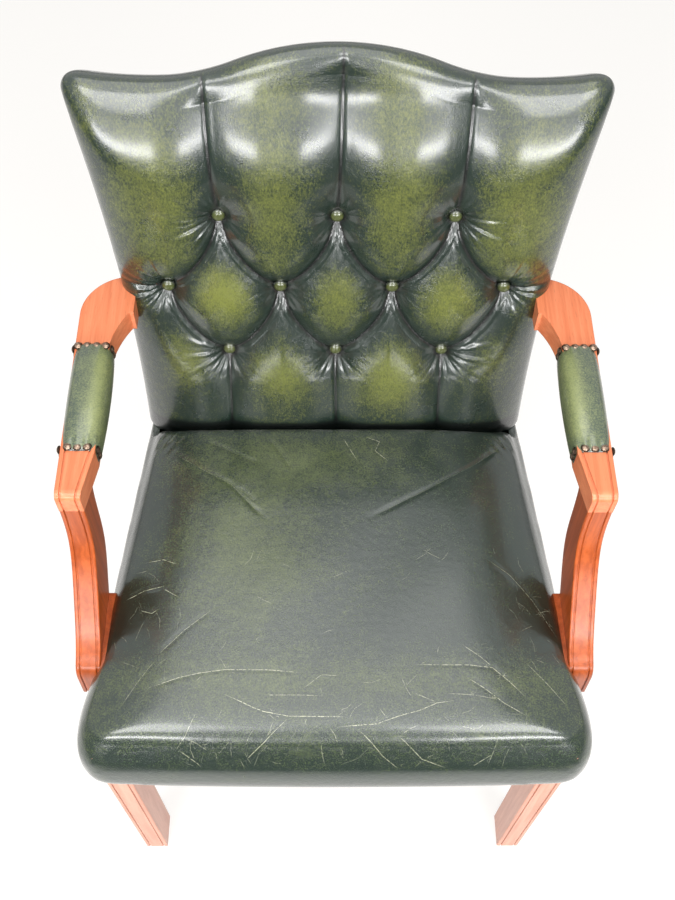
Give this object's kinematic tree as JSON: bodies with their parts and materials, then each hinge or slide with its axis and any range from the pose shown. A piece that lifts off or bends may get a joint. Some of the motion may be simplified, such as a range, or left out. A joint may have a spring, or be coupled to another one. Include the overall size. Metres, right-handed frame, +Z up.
{
  "type": "upholstered armchair",
  "caption": "Low-armed leather armchair with a deep-buttoned camel-shaped back, a crowned seat, padded arms fixed with domed nails and straight show-wood front legs",
  "frame": {"origin": "middle of the footprint, on the floor under the four feet", "axes": "+X is to the right seen from the front, the chair faces -Y, +Z is up"},
  "size_m": [0.602, 0.6071, 0.9469],
  "materials": {
    "show_wood": "reddish stained hardwood with satin lacquer",
    "frame_wood": "unfinished beech",
    "dowel_wood": "fluted beech dowel",
    "leather": "hand-rubbed antique green hide, glossy",
    "foam": "open cell seat foam",
    "webbing": "jute webbing",
    "hessian": "woven hessian",
    "lining": "thin black lining cloth",
    "nail_brass": "antique finish domed nail",
    "screw_steel": "zinc plated screw"
  },
  "bodies": {
    "root": {"front_leg_right": "show_wood", "front_leg_left": "show_wood", "rear_leg_right": "show_wood", "rear_leg_left": "show_wood", "arm_right": "show_wood", "arm_left": "show_wood", "arm_support_right": "show_wood", "arm_support_left": "show_wood", "front_rail": "frame_wood", "rear_rail": "frame_wood", "side_rail_right": "frame_wood", "side_rail_left": "frame_wood", "back_top_rail": "frame_wood", "back_lower_rail": "frame_wood", "front_corner_block_right": "frame_wood", "front_corner_block_left": "frame_wood", "rear_corner_block_right": "frame_wood", "rear_corner_block_left": "frame_wood", "seat_dowels": "dowel_wood", "back_dowels": "dowel_wood", "arm_dowels": "dowel_wood", "corner_block_screws": "screw_steel", "arm_support_screws": "screw_steel", "arm_screws": "screw_steel", "seat_webbing": "webbing", "seat_cross_webbing": "webbing", "back_webbing": "webbing", "back_cross_webbing": "webbing", "button_ties": "webbing", "seat_hessian": "hessian", "back_hessian": "hessian", "dust_cloth": "lining", "seat_foam": "foam", "back_foam": "foam", "arm_pad_stuffing_right": "foam", "arm_pad_stuffing_left": "foam", "seat_cover": "leather", "back_cover": "leather", "back_rear_panel": "leather", "arm_pad_cover_right": "leather", "arm_pad_cover_left": "leather", "back_buttons": "leather", "arm_nails_right": "nail_brass", "arm_nails_left": "nail_brass"}
  },
  "joints": []
}
